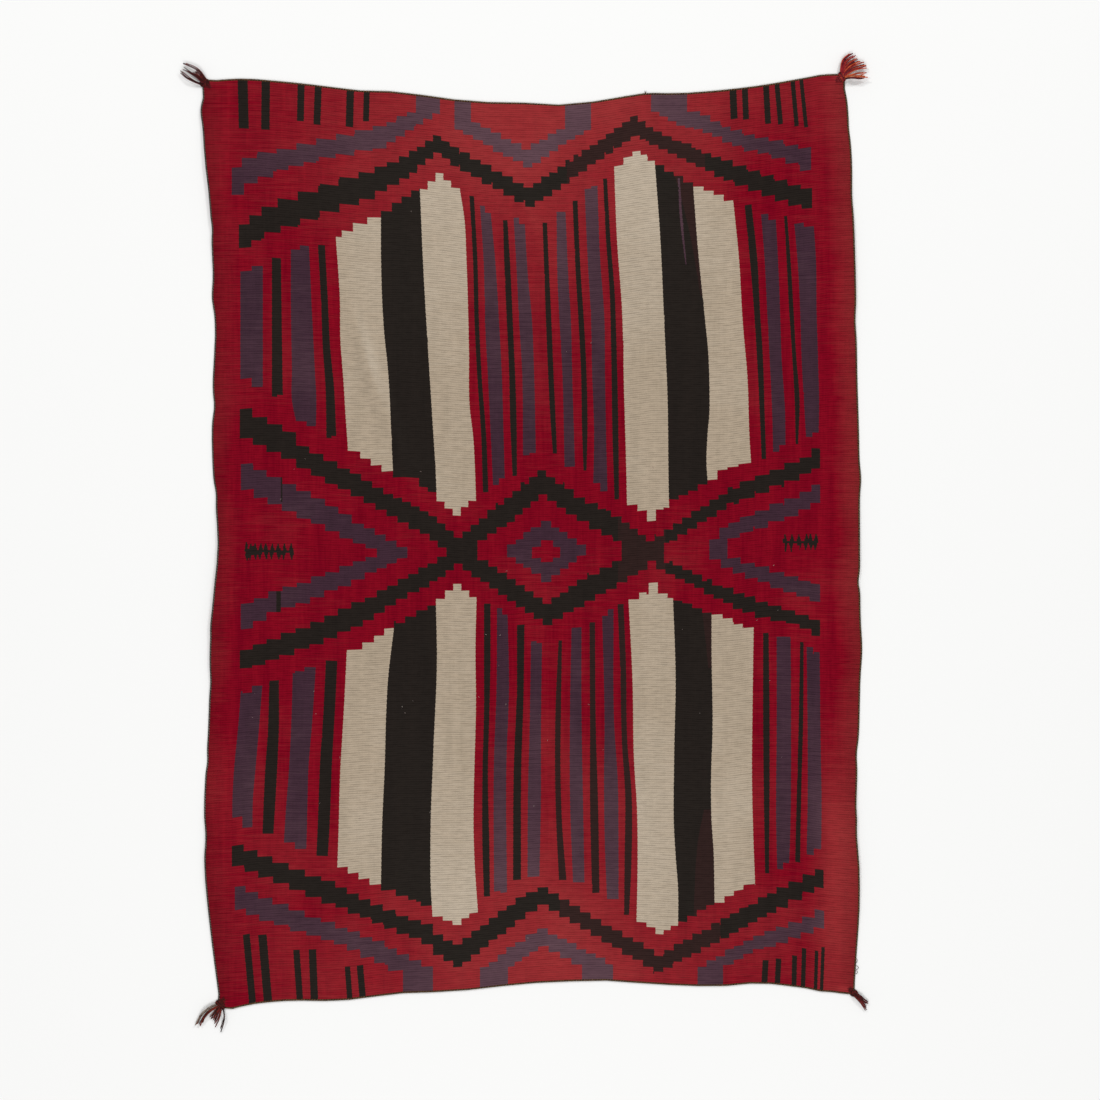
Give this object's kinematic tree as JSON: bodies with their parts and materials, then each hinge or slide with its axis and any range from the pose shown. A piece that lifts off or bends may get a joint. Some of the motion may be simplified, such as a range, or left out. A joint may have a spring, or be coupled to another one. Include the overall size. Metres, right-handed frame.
{
  "type": "navajo rug",
  "caption": "Flat tapestry-woven wool floor rug with stepped zigzag bands, a centre diamond and lengthwise stripes, corded edges and a yarn tassel at each corner.",
  "frame": {"origin": "the floor under the middle of the rug's overall box, tassels included", "axes": "+Z up off the floor, +Y along the rug's length towards its upper end, +X across to the right seen from above with +Y up"},
  "size_m": [1.365, 1.9505, 0.012],
  "materials": {
    "wool_cloth": "weft-faced tapestry weave in red, black-brown, natural white and purple-grey wool, matt, with fine ribs",
    "edge_cord_wool": "plied dark brown wool cord, matt",
    "tassel_wool": "loose ends of plied wool yarn, matt, dark red-brown"
  },
  "bodies": {
    "root": {"woven_cloth": "wool_cloth", "left_edge_cord": "edge_cord_wool", "right_edge_cord": "edge_cord_wool", "bottom_edge_cord": "edge_cord_wool", "top_edge_cord": "edge_cord_wool", "corner_tassel_top_left": "tassel_wool", "corner_tassel_top_right": "tassel_wool", "corner_tassel_bottom_left": "tassel_wool", "corner_tassel_bottom_right": "tassel_wool"}
  },
  "joints": []
}
